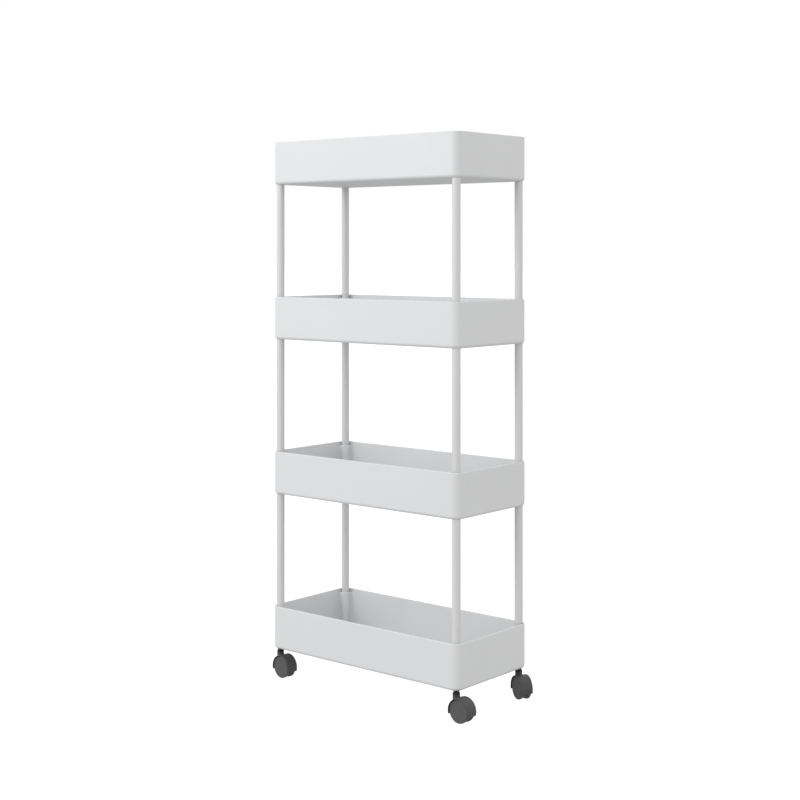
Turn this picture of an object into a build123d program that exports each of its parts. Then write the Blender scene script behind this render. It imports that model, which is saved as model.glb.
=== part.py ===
from build123d import *
import os

# Rolling pantry cart: four moulded trays on corner tubes, standing on twin-wheel swivel casters.
# Millimetres. +Z is up, +X runs along the long side, -Y is the front long side.
# The origin is on the floor, under the middle of the trays.

# Trays
tray_length = 390.0
tray_width = 180.0
tray_height = 70.0
tray_pitch = 255.0  # from one tray's rim to the next one's
tray_lift = 46.5  # from the floor to the bottom tray's underside
tray_wall = 2.5
tray_corner_radius = 13.5
tray_foot_radius = 5.0  # rounding along the outer bottom edge
rim_radius = 1.2

# Corner sockets, one in each corner of every tray
post_inset = 10.5  # from the tray's outer faces to a tube's axis
boss_radius = 8.25
boss_height = 64.0  # top of the boss above the tray's underside
boss_edge_radius = 0.8
boss_blend_radius = 4.0  # where a boss runs into the walls beside it
socket_radius = 6.55
socket_depth = 30.0  # wide lower part, which takes the tube below
spigot_hole_radius = 5.35  # narrow upper part, which takes the end of the tube above

# Tubes, swaged at the lower end
tube_radius = 6.5
tube_bore_radius = 5.6
spigot_radius = 5.3
spigot_bore_radius = 4.4
swage_length = 8.0  # conical step between the spigot and the full tube
spigot_overlap = 9.5  # how far a spigot reaches into the part below the shoulder

# Caps that close the top tray's sockets
cap_radius = 6.6
cap_height = 1.6
cap_edge_radius = 0.7
cap_plug_radius = 5.3
cap_plug_length = 10.0
cap_plug_wall = 1.2

# Casters
wheel_radius = 17.5
wheel_width = 5.4
wheel_edge_radius = 1.5
wheel_face_radius = 14.2  # shallow round recess in the outer face
wheel_face_depth = 0.4
wheel_hub_radius = 5.0
wheel_rim_inner_radius = 14.6
wheel_pocket_depth = 2.8  # ring-shaped pocket in the inner face
wheel_bore_depth = 4.2
caster_trail = 11.0  # from the swivel axis to the wheel axis
hood_outer_radius = 19.5
hood_inner_radius = 18.3
hood_half_width = 10.4
hood_edge_radius = 0.8
hood_front_drop = 17.0  # degrees below the wheel axis, on the wheel side
hood_rear_drop = 17.0  # degrees below the wheel axis, on the stem side
web_half_width = 3.4
web_radius = 16.0  # the disc between the wheels
wheel_gap = 0.35  # between the web and a wheel
hub_radius = 5.6
hub_top = 42.5
hub_bottom = 24.0
hub_edge_radius = 0.5
hub_blend_radius = 1.0  # where the hub runs into the hood

# Axles, a press fit in the web and a running fit in the wheels
axle_radius = 2.0
axle_half_length = 7.7
axle_running_clearance = 0.05
axle_press_clearance = 0.02
axle_groove_radius = 1.8
axle_groove_width = 0.8
axle_groove_centre = 6.7  # distance from the middle of the axle
axle_chamfer = 0.3

# Swivel stems
pintle_radius = 2.5
pintle_bottom = 29.0
pintle_clearance = 0.08
pintle_groove_radius = 2.1
pintle_groove_bottom = 33.8
pintle_groove_top = 35.0
stem_flange_radius = 4.2
stem_flange_bottom = 42.6
stem_flange_top = 43.4
shank_radius = 3.0
shank_top = 64.0
shank_chamfer = 0.6
ring_groove_radius = 2.4
ring_groove_bottom = 55.5
ring_groove_top = 57.7
snap_gap = 0.1  # clearance around each snap bead

# Grip rings, sprung on the shanks
ring_inner_radius = 2.45
ring_outer_radius = 3.15
ring_slit = 1.4

# Bushes that hold the stems in the bottom tray's sockets
bush_bore_radius = 3.2
bush_shank_depth = 18.0  # depth of the shank's bore above the tray's underside
bush_web_top = 20.0
bush_recess = 0.6  # the bush's body starts this far inside the socket
bush_flare_radius = 5.1
bush_flare_drop = 0.8
bush_nose_radius = 4.1
bush_nose_drop = 2.4

tray_names = ["tray_bottom", "tray_lower_middle", "tray_upper_middle", "tray_top"]
level_names = ["lower", "middle", "upper"]
post_x = tray_length / 2 - post_inset
post_y = tray_width / 2 - post_inset
corners = {
    "front_left": (-post_x, -post_y),
    "front_right": (post_x, -post_y),
    "back_left": (-post_x, post_y),
    "back_right": (post_x, post_y),
}
# Quarter turns that bring the corner at +X, +Y to each corner, in degrees
corner_turn = {
    "front_left": 180.0,
    "front_right": 270.0,
    "back_left": 90.0,
    "back_right": 0.0,
}
# Direction in which each caster trails at rest, in degrees from +X
caster_yaw = {
    "front_left": -6.0,
    "front_right": -2.0,
    "back_left": 205.0,
    "back_right": -29.0,
}


def turned(points):
    """A solid of revolution about Z, from its half profile of (radius, height) points."""
    return revolve(Plane.XZ * make_face(Polyline(*points, close=True)), Axis.Z)


def round_edges(solid, radius):
    """The circular edges of a solid that have this radius."""
    circles = solid.edges().filter_by(GeomType.CIRCLE)
    return circles.filter_by(lambda edge: abs(edge.radius - radius) < 1e-4)


def tray_shell():
    """An open tray with upright walls, a rounded foot and a rounded rim."""
    outline = RectangleRounded(tray_length, tray_width, tray_corner_radius)
    outer = extrude(outline, tray_height)
    outer = fillet(outer.edges().group_by(Axis.Z)[0], tray_foot_radius)
    hollow_outline = RectangleRounded(
        tray_length - 2 * tray_wall,
        tray_width - 2 * tray_wall,
        tray_corner_radius - tray_wall,
    )
    hollow = extrude(Pos(0, 0, tray_wall) * hollow_outline, tray_height)
    hollow = fillet(hollow.edges().group_by(Axis.Z)[0], tray_foot_radius - tray_wall)
    shell = outer - hollow
    return fillet(shell.edges().group_by(Axis.Z)[-1], rim_radius)


def boss_gusset():
    """The outline that blends a boss into the wall on its +Y side, towards -X."""
    wall_gap = post_inset - tray_wall
    in_wall = wall_gap + tray_wall / 2
    centre_y = wall_gap - boss_blend_radius
    centre_x = -(((boss_radius + boss_blend_radius) ** 2 - centre_y**2) ** 0.5)
    centre = Vector(centre_x, centre_y)
    on_boss = centre * (boss_radius / (boss_radius + boss_blend_radius))
    on_wall = Vector(centre_x, wall_gap)
    halfway = ((on_boss - centre).normalized() + Vector(0, 1)).normalized()
    blend = ThreePointArc(on_wall, centre + halfway * boss_blend_radius, on_boss)
    sides = Polyline(on_boss, (0, 0), (0, in_wall), (centre_x, in_wall), on_wall)
    return make_face([blend, sides])


def tray_boss():
    """The solid post inside the corner at +X, +Y of a tray, before its socket is bored."""
    gusset = boss_gusset()
    diagonal = Plane(origin=(0, 0, 0), z_dir=(1, -1, 0))
    outline = Circle(boss_radius) + gusset + mirror(gusset, diagonal)
    boss = extrude(Pos(0, 0, tray_wall) * outline, boss_height - tray_wall)
    top_edges = boss.edges().group_by(Axis.Z)[-1]
    return fillet(top_edges.filter_by(GeomType.CIRCLE), boss_edge_radius)


def socket_bore():
    """The stepped hole through a corner boss: wide from below, narrow from above."""
    return turned(
        [
            (0, -1),
            (socket_radius, -1),
            (socket_radius, socket_depth),
            (spigot_hole_radius, socket_depth),
            (spigot_hole_radius, tray_height),
            (0, tray_height),
        ]
    )


def tray():
    """A whole tray with its underside at Z = 0."""
    solid = tray_shell()
    for corner, (x, y) in corners.items():
        solid += Pos(x, y, 0) * Rot(0, 0, corner_turn[corner]) * tray_boss()
    for x, y in corners.values():
        solid -= Pos(x, y, 0) * socket_bore()
    return solid


def tube():
    """A corner tube, standing on a tray whose underside is at Z = 0."""
    spigot_bottom = socket_depth - spigot_overlap
    swage_top = boss_height + swage_length
    tube_top = tray_pitch + socket_depth
    return turned(
        [
            (spigot_bore_radius, spigot_bottom),
            (spigot_radius, spigot_bottom),
            (spigot_radius, boss_height),
            (tube_radius, swage_top),
            (tube_radius, tube_top),
            (tube_bore_radius, tube_top),
            (tube_bore_radius, swage_top),
            (spigot_bore_radius, boss_height),
        ]
    )


def socket_cap():
    """A hollow push-in cap for an empty socket, with the boss's top at Z = 0."""
    head = Pos(0, 0, cap_height / 2) * Cylinder(cap_radius, cap_height)
    head = fillet(head.edges().group_by(Axis.Z)[-1], cap_edge_radius)
    plug = Pos(0, 0, -cap_plug_length / 2) * Cylinder(cap_plug_radius, cap_plug_length)
    bore = Cylinder(cap_plug_radius - cap_plug_wall, cap_plug_length)
    return head + plug - Pos(0, 0, -cap_plug_length / 2) * bore


def stem_bush():
    """The flared bush that carries a caster stem, with the tray's underside at Z = 0."""
    return turned(
        [
            (bush_bore_radius, stem_flange_top - tray_lift),
            (bush_nose_radius, stem_flange_top - tray_lift),
            (bush_nose_radius, -bush_nose_drop),
            (bush_flare_radius, -bush_flare_drop),
            (bush_flare_radius, bush_recess),
            (tube_radius, bush_recess),
            (tube_radius, socket_depth),
            (tube_bore_radius, socket_depth),
            (tube_bore_radius, bush_web_top),
            (0, bush_web_top),
            (0, bush_shank_depth),
            (bush_bore_radius, bush_shank_depth),
        ]
    )


def caster_stem():
    """The steel stem: pintle, flange and grooved shank, at its height above the floor."""
    return turned(
        [
            (0, pintle_bottom),
            (pintle_radius - shank_chamfer, pintle_bottom),
            (pintle_radius, pintle_bottom + shank_chamfer),
            (pintle_radius, pintle_groove_bottom),
            (pintle_groove_radius, pintle_groove_bottom),
            (pintle_groove_radius, pintle_groove_top),
            (pintle_radius, pintle_groove_top),
            (pintle_radius, stem_flange_bottom),
            (stem_flange_radius, stem_flange_bottom),
            (stem_flange_radius, stem_flange_top),
            (shank_radius, stem_flange_top),
            (shank_radius, ring_groove_bottom),
            (ring_groove_radius, ring_groove_bottom),
            (ring_groove_radius, ring_groove_top),
            (shank_radius, ring_groove_top),
            (shank_radius, shank_top - shank_chamfer),
            (shank_radius - shank_chamfer, shank_top),
            (0, shank_top),
        ]
    )


def grip_ring():
    """The split spring ring in the shank's groove."""
    height = ring_groove_top - ring_groove_bottom - 2 * snap_gap
    middle = (ring_groove_top + ring_groove_bottom) / 2
    ring = Cylinder(ring_outer_radius, height) - Cylinder(ring_inner_radius, height)
    ring -= Pos(ring_outer_radius, 0, 0) * Box(2 * ring_outer_radius, ring_slit, height)
    return Pos(0, 0, middle) * ring


def hood_sector():
    """The hood's side outline: a sector a little over a half disc, on the wheel axis."""
    centre = (caster_trail, wheel_radius)
    sweep = 180 + hood_front_drop + hood_rear_drop
    rim = CenterArc(centre, hood_outer_radius, -hood_front_drop, sweep)
    sides = Polyline(rim @ 1, centre, rim @ 0)
    return Plane.XZ * make_face([rim, sides])


def pintle_bore():
    """The pintle's running bore, with the snap bead that holds the housing up."""
    bore_radius = pintle_radius + pintle_clearance
    bead_radius = pintle_groove_radius + snap_gap
    bead_bottom = pintle_groove_bottom + snap_gap
    bead_top = pintle_groove_top - snap_gap
    bore_bottom = pintle_bottom - 0.5
    return turned(
        [
            (0, bore_bottom),
            (bore_radius, bore_bottom),
            (bore_radius, bead_bottom),
            (bead_radius, bead_bottom),
            (bead_radius, bead_top),
            (bore_radius, bead_top),
            (bore_radius, hub_top + 1),
            (0, hub_top + 1),
        ]
    )


def on_axle(solid, side=1):
    """Turns a solid from the Z axis onto the wheel axis, pointing to +Y (side 1) or -Y (side -1)."""
    return Pos(caster_trail, 0, wheel_radius) * Rot(-90 * side, 0, 0) * solid


def caster_hood():
    """The swivelling housing: hood, centre web and hub, with the swivel axis on Z."""
    body = extrude(hood_sector(), hood_half_width, both=True)
    hub_height = hub_top - hub_bottom
    body += Pos(0, 0, (hub_top + hub_bottom) / 2) * Cylinder(hub_radius, hub_height)
    body = fillet(body.edges().filter_by(GeomType.BSPLINE), hub_blend_radius)
    body = fillet(round_edges(body, hood_outer_radius), hood_edge_radius)
    body = fillet(body.edges().group_by(Axis.Z)[-1], hub_edge_radius)
    pocket_depth = hood_half_width
    pocket = Pos(0, 0, web_half_width + pocket_depth / 2) * Cylinder(hood_inner_radius, pocket_depth)
    for side in (1, -1):
        body -= on_axle(pocket, side)
    body += on_axle(Cylinder(web_radius, 2 * web_half_width))
    body -= on_axle(Cylinder(axle_radius + axle_press_clearance, 2 * hood_half_width))
    return body - pintle_bore()


def caster_axle():
    """The pin that carries both wheels, grooved near each end for their snap beads."""
    groove_inner = axle_groove_centre - axle_groove_width / 2
    groove_outer = axle_groove_centre + axle_groove_width / 2
    half = [
        (axle_radius, groove_inner),
        (axle_groove_radius, groove_inner),
        (axle_groove_radius, groove_outer),
        (axle_radius, groove_outer),
        (axle_radius, axle_half_length - axle_chamfer),
        (axle_radius - axle_chamfer, axle_half_length),
        (0, axle_half_length),
    ]
    mirrored = [(radius, -height) for radius, height in reversed(half)]
    return turned(mirrored + half)


def caster_wheel():
    """One wheel about Z, with its inner face nearest to Z = 0 and its outer face above it."""
    inner_face = web_half_width + wheel_gap
    outer_face = inner_face + wheel_width
    bore_radius = axle_radius + axle_running_clearance
    bead_radius = axle_groove_radius + snap_gap
    bead_half = axle_groove_width / 2 - snap_gap
    bore_end = inner_face + wheel_bore_depth
    pocket_end = inner_face + wheel_pocket_depth
    blank = turned(
        [
            (bore_radius, inner_face),
            (wheel_hub_radius, inner_face),
            (wheel_hub_radius, pocket_end),
            (wheel_rim_inner_radius, pocket_end),
            (wheel_rim_inner_radius, inner_face),
            (wheel_radius, inner_face),
            (wheel_radius, outer_face),
            (wheel_face_radius + wheel_face_depth, outer_face),
            (wheel_face_radius, outer_face - wheel_face_depth),
            (0, outer_face - wheel_face_depth),
            (0, bore_end),
            (bore_radius, bore_end),
            (bore_radius, axle_groove_centre + bead_half),
            (bead_radius, axle_groove_centre + bead_half),
            (bead_radius, axle_groove_centre - bead_half),
            (bore_radius, axle_groove_centre - bead_half),
        ]
    )
    return fillet(round_edges(blank, wheel_radius), wheel_edge_radius)


def save(solid, name):
    export_step(solid, f"parts/{name}.step")


def save_caster(corner):
    """Every piece of one caster, swivelled to its rest direction."""
    x, y = corners[corner]
    place = Pos(x, y, 0) * Rot(0, 0, caster_yaw[corner])
    save(Pos(x, y, tray_lift) * stem_bush(), f"{corner}_stem_bush")
    save(place * caster_stem(), f"{corner}_caster_stem")
    save(place * grip_ring(), f"{corner}_grip_ring")
    save(place * caster_hood(), f"{corner}_caster_hood")
    save(place * on_axle(caster_axle()), f"{corner}_caster_axle")
    save(place * on_axle(caster_wheel(), 1), f"{corner}_wheel_left")
    save(place * on_axle(caster_wheel(), -1), f"{corner}_wheel_right")


os.makedirs("parts", exist_ok=True)
one_tray = tray()
for level, name in enumerate(tray_names):
    save(Pos(0, 0, tray_lift + level * tray_pitch) * one_tray, name)
for level, name in enumerate(level_names):
    for corner, (x, y) in corners.items():
        height = tray_lift + level * tray_pitch
        save(Pos(x, y, height) * tube(), f"tube_{name}_{corner}")
top_boss = tray_lift + len(level_names) * tray_pitch + boss_height
for corner, (x, y) in corners.items():
    save(Pos(x, y, top_boss) * socket_cap(), f"socket_cap_{corner}")
    save_caster(corner)
print("overall height", tray_lift + len(level_names) * tray_pitch + tray_height)
print("tube length", tray_pitch + spigot_overlap)
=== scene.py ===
import math

import bmesh
import bpy
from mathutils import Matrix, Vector

# Rolling pantry cart: four white trays on corner tubes, over dark twin-wheel casters.
# Metres, in the CAD frame: +Z is up, +X runs along the long side, -Y is the front.

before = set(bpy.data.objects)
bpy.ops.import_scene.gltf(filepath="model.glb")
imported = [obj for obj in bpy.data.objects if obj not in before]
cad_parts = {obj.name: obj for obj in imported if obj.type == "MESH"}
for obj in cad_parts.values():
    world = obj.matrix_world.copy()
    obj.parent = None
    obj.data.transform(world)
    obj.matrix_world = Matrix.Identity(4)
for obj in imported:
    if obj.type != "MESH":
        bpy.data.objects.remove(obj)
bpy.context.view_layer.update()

CORNERS = ("front_left", "front_right", "back_left", "back_right")
TRAYS = ("tray_bottom", "tray_lower_middle", "tray_upper_middle", "tray_top")
LEVELS = ("lower", "middle", "upper")

# Camera: level, a little below the top tray, in front of the right-hand corner
CAMERA_PLACE = (1.5628, -1.8379, 0.7035)
CAMERA_TURN = 40.25  # degrees to the left of +Y
CAMERA_LENS = 67.245  # millimetres
CAMERA_SENSOR = 36.0  # millimetres wide
CAMERA_SHIFT = -0.1874  # of the picture's width
CAMERA_REACH = 100.0  # past the floor's far corners

# Studio: an even white surround, a floor lit from below and one soft box at the front left
WORLD_STRENGTH = 1.03
FLOOR_GREY = (0.14, 0.14, 0.14)
FLOOR_GLOW = 0.4  # what the floor sends to the cart
FLOOR_WHITE = 1.0  # what it adds for the camera, so that it photographs white
FLOOR_REACH = 40.0  # from the origin to each edge
FLOOR_CELLS = 2  # along each edge
KEY_PLACE = (-0.8, -1.8, 1.5)
KEY_TARGET = (0.0, 0.0, 0.5)
KEY_SIZE = 1.2
KEY_POWER = 16.2  # watts
KEY_COLOUR = (0.965, 0.98, 1.0)

# Linear base colours
TRAY_WHITE = (0.694, 0.697, 0.703)
TUBE_WHITE = (0.66, 0.66, 0.66)
HOOD_GREY = (0.070, 0.070, 0.071)
WHEEL_GREY = (0.092, 0.092, 0.093)
BUSH_BLACK = (0.02, 0.02, 0.02)
STEEL = (0.55, 0.55, 0.56)
DARK_STEEL = (0.09, 0.09, 0.095)

# Painted darkening by height on each caster hood: a dark band round the hub's top, and painted shade at
# the turn of its foot: (height, shade)
HUB_DARK_BAND_AND_PAINTED_SHADE = (
    (0.0370, 1.0),
    (0.0376, 0.6),
    (0.0384, 0.85),
    (0.0398, 0.85),
    (0.0404, 0.25),
    (0.0425, 0.2),
)

# Sockets of a Mix node that mixes colours, which share their names with its other kinds
MIX_FACTOR, MIX_A, MIX_B = 0, 6, 7
MIX_RESULT = 2


# ---------------------------------------------------------------- materials


class Surface:
    """Builds one Principled material out of small procedural layers."""

    def __init__(self, name, base, roughness):
        self.material = bpy.data.materials.new(name)
        self.material.use_nodes = True
        self.tree = self.material.node_tree
        self.shader = self.tree.nodes["Principled BSDF"]
        self.shader.inputs["Base Color"].default_value = (*base, 1.0)
        self.shader.inputs["Roughness"].default_value = roughness
        self.base = base
        self.place = self.node("ShaderNodeTexCoord").outputs["Object"]
        self.bump_normal = None

    def node(self, kind, **values):
        made = self.tree.nodes.new(kind)
        for key, value in values.items():
            setattr(made, key, value)
        return made

    def link(self, source, target):
        self.tree.links.new(source, target)

    def stretched(self, factors):
        """The object coordinates, scaled along each axis, for grain that runs one way."""
        mapping = self.node("ShaderNodeMapping")
        mapping.inputs["Scale"].default_value = factors
        self.link(self.place, mapping.inputs["Vector"])
        return mapping.outputs["Vector"]

    def noise(self, scale, detail=2.0, place=None):
        made = self.node("ShaderNodeTexNoise")
        made.inputs["Scale"].default_value = scale
        made.inputs["Detail"].default_value = detail
        self.link(place or self.place, made.inputs["Vector"])
        return made.outputs["Fac"]

    def spread(self, source, low, high, start=0.3, stop=0.7):
        """Maps a pattern's middle range onto low..high."""
        made = self.node("ShaderNodeMapRange")
        made.inputs["From Min"].default_value = start
        made.inputs["From Max"].default_value = stop
        made.inputs["To Min"].default_value = low
        made.inputs["To Max"].default_value = high
        self.link(source, made.inputs["Value"])
        return made.outputs["Result"]

    def tint(self, source, darker, lighter, start=0.25, stop=0.75):
        """Varies the base colour with a pattern, between two multiples of it."""
        ramp = self.node("ShaderNodeValToRGB")
        ends = ramp.color_ramp.elements
        ends[0].position = start
        ends[1].position = stop
        ends[0].color = (*[c * darker for c in self.base], 1.0)
        ends[1].color = (*[min(1.0, c * lighter) for c in self.base], 1.0)
        self.link(source, ramp.inputs["Fac"])
        self.link(ramp.outputs["Color"], self.shader.inputs["Base Color"])

    def shade(self, factor):
        """Multiplies the tinted base colour by a grey pattern."""
        colour = self.shader.inputs["Base Color"]
        made = self.node("ShaderNodeMix", data_type="RGBA", blend_type="MULTIPLY")
        made.inputs[MIX_FACTOR].default_value = 1.0
        self.link(colour.links[0].from_socket, made.inputs[MIX_A])
        self.link(factor, made.inputs[MIX_B])
        self.link(made.outputs[MIX_RESULT], colour)

    def shade_heights(self, stops):
        """Shades the surface by its height, through (height in metres, shade) stops."""
        axes = self.node("ShaderNodeSeparateXYZ")
        self.link(self.place, axes.inputs["Vector"])
        bottom, top = stops[0][0], stops[-1][0]
        ramp = self.node("ShaderNodeValToRGB")
        marks = ramp.color_ramp.elements
        while len(marks) < len(stops):
            marks.new(0.5)  # moved to its place below
        for mark, (height, shade) in zip(marks, stops):
            mark.position = (height - bottom) / (top - bottom)
            mark.color = (shade, shade, shade, 1.0)
        self.link(self.spread(axes.outputs["Z"], 0.0, 1.0, bottom, top), ramp.inputs["Fac"])
        self.shade(ramp.outputs["Color"])

    def roughen(self, source, low, high):
        """Varies the roughness with a pattern."""
        self.link(self.spread(source, low, high), self.shader.inputs["Roughness"])

    def bump(self, source, depth, strength=1.0):
        """Adds a bump layer; depth is in metres."""
        made = self.node("ShaderNodeBump")
        made.inputs["Distance"].default_value = depth
        made.inputs["Strength"].default_value = strength
        self.link(source, made.inputs["Height"])
        if self.bump_normal:
            self.link(self.bump_normal, made.inputs["Normal"])
        self.bump_normal = made.outputs["Normal"]
        self.link(self.bump_normal, self.shader.inputs["Normal"])


def tray_plastic():
    """White moulded polypropylene with a fine spark-eroded grain and faint flow marks."""
    surface = Surface("tray_plastic_look", TRAY_WHITE, roughness=0.42)
    surface.tint(surface.noise(scale=9.0, detail=3.0), darker=0.985, lighter=1.008)
    surface.roughen(surface.noise(scale=60.0, detail=4.0), low=0.38, high=0.48)
    surface.bump(surface.noise(scale=7.0, detail=1.0), depth=0.0006, strength=0.35)
    surface.bump(surface.noise(scale=1500.0), depth=0.00004, strength=0.5)
    return surface.material


def tube_paint():
    """White powder coat on steel, with a soft orange-peel ripple."""
    surface = Surface("tube_paint_look", TUBE_WHITE, roughness=0.32)
    surface.tint(surface.noise(scale=25.0), darker=0.985, lighter=1.01)
    surface.roughen(surface.noise(scale=140.0, detail=3.0), low=0.27, high=0.38)
    surface.bump(surface.noise(scale=420.0), depth=0.00005, strength=0.5)
    surface.shader.inputs["Coat Weight"].default_value = 0.25
    surface.shader.inputs["Coat Roughness"].default_value = 0.18
    return surface.material


def dark_nylon(name, base, roughness, grain, heights=()):
    """Dark moulded nylon with a matt grain of the given depth, shaded at the given heights."""
    surface = Surface(name, base, roughness)
    surface.tint(surface.noise(scale=120.0, detail=3.0), darker=0.9, lighter=1.1)
    if heights:
        surface.shade_heights(heights)
    patches = surface.noise(scale=300.0, detail=3.0)
    surface.roughen(patches, low=roughness - 0.06, high=roughness + 0.08)
    surface.bump(surface.noise(scale=1800.0), depth=grain, strength=0.6)
    surface.shader.inputs["Specular IOR Level"].default_value = 0.3
    return surface.material


def turned_steel(name, base, roughness):
    """Steel bar with fine turning marks, stacked along the upright axis."""
    surface = Surface(name, base, roughness)
    surface.shader.inputs["Metallic"].default_value = 1.0
    upright = surface.stretched((20.0, 20.0, 6000.0))
    marks = surface.noise(scale=1.0, place=upright)
    surface.tint(marks, darker=0.85, lighter=1.1)
    surface.roughen(marks, low=roughness - 0.08, high=roughness + 0.1)
    surface.bump(marks, depth=0.00002, strength=0.5)
    return surface.material


def glow(surface, strength):
    """The floor's own light, added to its diffusing surface."""
    shine = surface.node("ShaderNodeEmission")
    shine.inputs["Strength"].default_value = strength
    both = surface.node("ShaderNodeAddShader")
    surface.link(surface.shader.outputs["BSDF"], both.inputs[0])
    surface.link(shine.outputs["Emission"], both.inputs[1])
    return both.outputs["Shader"]


def pale_floor():
    """The studio's light table: a pale sheet lit from below, which shows no shadow."""
    surface = Surface("studio_floor_look", FLOOR_GREY, roughness=0.8)
    surface.tint(surface.noise(scale=1.2), darker=0.99, lighter=1.01)
    surface.shader.inputs["Specular IOR Level"].default_value = 0.1
    rays = surface.node("ShaderNodeLightPath")
    seen = surface.node("ShaderNodeMixShader")
    surface.link(rays.outputs["Is Camera Ray"], seen.inputs["Fac"])
    surface.link(glow(surface, FLOOR_GLOW), seen.inputs[1])
    surface.link(glow(surface, FLOOR_WHITE), seen.inputs[2])
    output = surface.tree.nodes["Material Output"]
    surface.link(seen.outputs["Shader"], output.inputs["Surface"])
    return surface.material


def give(node, material):
    """Gives a CAD node's object one material."""
    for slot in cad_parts[node].material_slots:
        slot.material = material


def dress_cad_nodes():
    """The finish of every CAD node."""
    tray = tray_plastic()
    tube = tube_paint()
    # The hood's colour is darkened by height: a dark band round the hub's top and painted shade at its
    # foot
    hood = dark_nylon("hood_plastic_look", HOOD_GREY, roughness=0.45, grain=0.00005, heights=HUB_DARK_BAND_AND_PAINTED_SHADE)
    wheel = dark_nylon("wheel_plastic_look", WHEEL_GREY, roughness=0.5, grain=0.00005)
    bush = dark_nylon("bush_plastic_look", BUSH_BLACK, roughness=0.4, grain=0.00003)
    stem = turned_steel("stem_steel_look", DARK_STEEL, roughness=0.4)
    bright = turned_steel("axle_steel_look", STEEL, roughness=0.28)
    for name in TRAYS:
        give(name, tray)
    for corner in CORNERS:
        for level in LEVELS:
            give(f"tube_{level}_{corner}", tube)
        give(f"socket_cap_{corner}", tray)
        give(f"{corner}_stem_bush", bush)
        give(f"{corner}_caster_stem", stem)
        give(f"{corner}_grip_ring", bright)
        give(f"{corner}_caster_axle", bright)
        give(f"{corner}_caster_hood", hood)
        give(f"{corner}_wheel_left", wheel)
        give(f"{corner}_wheel_right", wheel)


# ---------------------------------------------------------------- studio


def make_camera():
    """The photo's camera: level, with its picture shifted down."""
    data = bpy.data.cameras.new("camera")
    camera = bpy.data.objects.new("camera", data)
    bpy.context.scene.collection.objects.link(camera)
    camera.location = CAMERA_PLACE
    camera.rotation_euler = (math.radians(90), 0, math.radians(CAMERA_TURN))
    data.lens = CAMERA_LENS
    data.sensor_width = CAMERA_SENSOR
    data.shift_y = CAMERA_SHIFT
    data.clip_end = CAMERA_REACH
    bpy.context.scene.camera = camera


def make_key():
    """A square soft box that faces the cart."""
    data = bpy.data.lights.new("key", "AREA")
    data.size = KEY_SIZE
    data.energy = KEY_POWER
    data.color = KEY_COLOUR
    light = bpy.data.objects.new("key", data)
    bpy.context.scene.collection.objects.link(light)
    light.location = KEY_PLACE
    aim = Vector(KEY_TARGET) - Vector(KEY_PLACE)
    light.rotation_euler = aim.to_track_quat("-Z", "Y").to_euler()


def make_world():
    """An even white surround, as inside a studio's light tent."""
    world = bpy.data.worlds.new("studio")
    bpy.context.scene.world = world
    world.use_nodes = True
    background = world.node_tree.nodes["Background"]
    background.inputs["Color"].default_value = (1.0, 1.0, 1.0, 1.0)
    background.inputs["Strength"].default_value = WORLD_STRENGTH


def make_floor():
    """A flat square sheet under the wheels."""
    mesh = bpy.data.meshes.new("studio_floor")
    body = bmesh.new()
    bmesh.ops.create_grid(body, x_segments=FLOOR_CELLS, y_segments=FLOOR_CELLS, size=FLOOR_REACH)
    body.to_mesh(mesh)
    body.free()
    floor = bpy.data.objects.new("studio_floor", mesh)
    bpy.context.scene.collection.objects.link(floor)
    floor.data.materials.append(pale_floor())


def make_studio():
    bpy.context.scene.view_settings.view_transform = "Standard"
    make_camera()
    make_world()
    make_floor()
    make_key()


dress_cad_nodes()
make_studio()
